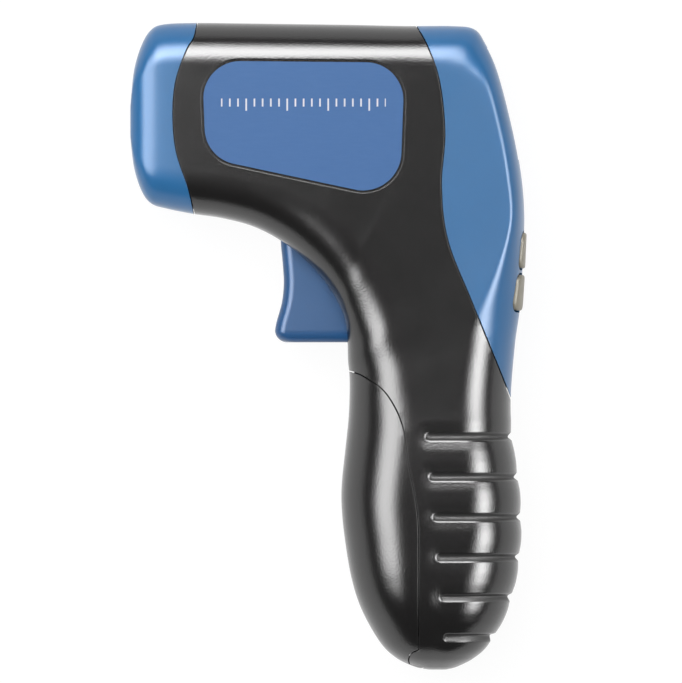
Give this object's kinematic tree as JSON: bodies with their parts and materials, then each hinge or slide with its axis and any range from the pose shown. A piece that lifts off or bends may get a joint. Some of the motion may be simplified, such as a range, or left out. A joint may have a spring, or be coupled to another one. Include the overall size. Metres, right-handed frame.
{
  "type": "laser tachometer",
  "caption": "Pistol-grip optical tachometer with a moulded housing, front optical port, trigger, battery door, rear display and keys.",
  "frame": {"origin": "centre of the bounding box, on the plane of the right side that the instrument lies on", "axes": "+X from the nose to the rear display, +Y from the foot of the grip to the top of the barrel, +Z from the right side up to the left side"},
  "size_m": [0.104, 0.17, 0.044],
  "materials": {
    "black_plastic": "fine-grained satin",
    "blue_plastic": "satin",
    "label": "fine brushed film",
    "key_plastic": "satin",
    "steel": "plain",
    "circuit_board": "solder mask",
    "dark_plastic": "satin",
    "lens_glass": "polished",
    "window_pane": "clear",
    "lcd": "grey-green",
    "diffuser": "milky",
    "brass_barrel": "plain",
    "battery_can": "satin",
    "lead_insulation": "plain"
  },
  "bodies": {
    "frame": {"left_housing": "black_plastic", "right_housing": "black_plastic", "front_bezel": "blue_plastic", "rear_cover": "blue_plastic", "side_label": "label", "trigger_pin": "steel", "trigger_spring": "steel", "trigger_switch": "dark_plastic", "key_board": "circuit_board", "key_switches": "steel", "display_window": "window_pane", "lcd_panel": "lcd", "backlight": "diffuser", "display_board": "circuit_board", "nose_plate": "dark_plastic", "receiver_lens": "lens_glass", "lens_barrel": "dark_plastic", "photodiode": "dark_plastic", "laser_module": "brass_barrel", "main_board": "circuit_board", "controller_chip": "dark_plastic", "board_screws": "steel", "housing_screws": "steel", "battery": "battery_can", "battery_clip": "dark_plastic", "battery_leads": "lead_insulation", "door_pin": "steel"},
    "trigger_body": {"trigger": "blue_plastic"},
    "battery_door_body": {"battery_door": "black_plastic"},
    "key_upper_left_body": {"key_upper_left": "key_plastic"},
    "key_upper_right_body": {"key_upper_right": "key_plastic"},
    "key_lower_left_body": {"key_lower_left": "key_plastic"},
    "key_lower_right_body": {"key_lower_right": "key_plastic"}
  },
  "joints": [
    {"name": "trigger_pull", "type": "hinge", "parent": "frame", "child": "trigger_body", "pos_m": [-0.0078, 0.033, 0.022], "axis": [0, 0, 1], "range_deg": [0, 7], "stiffness_Nm_per_rad": 1, "deforming": ["trigger_spring"]},
    {"name": "door_swing", "type": "hinge", "parent": "frame", "child": "battery_door_body", "pos_m": [0.0239, -0.0824, 0.022], "axis": [0, 0, 1], "range_deg": [0, 75]},
    {"name": "key_upper_left_press", "type": "slide", "parent": "frame", "child": "key_upper_left_body", "axis": [-0.9976, 0.0698, 0], "range_m": [0, 0.0006], "stiffness_N_per_m": 1500},
    {"name": "key_upper_right_press", "type": "slide", "parent": "frame", "child": "key_upper_right_body", "axis": [-0.9976, 0.0698, 0], "range_m": [0, 0.0006], "stiffness_N_per_m": 1500},
    {"name": "key_lower_left_press", "type": "slide", "parent": "frame", "child": "key_lower_left_body", "axis": [-0.9976, 0.0698, 0], "range_m": [0, 0.0006], "stiffness_N_per_m": 1500},
    {"name": "key_lower_right_press", "type": "slide", "parent": "frame", "child": "key_lower_right_body", "axis": [-0.9976, 0.0698, 0], "range_m": [0, 0.0006], "stiffness_N_per_m": 1500}
  ]
}
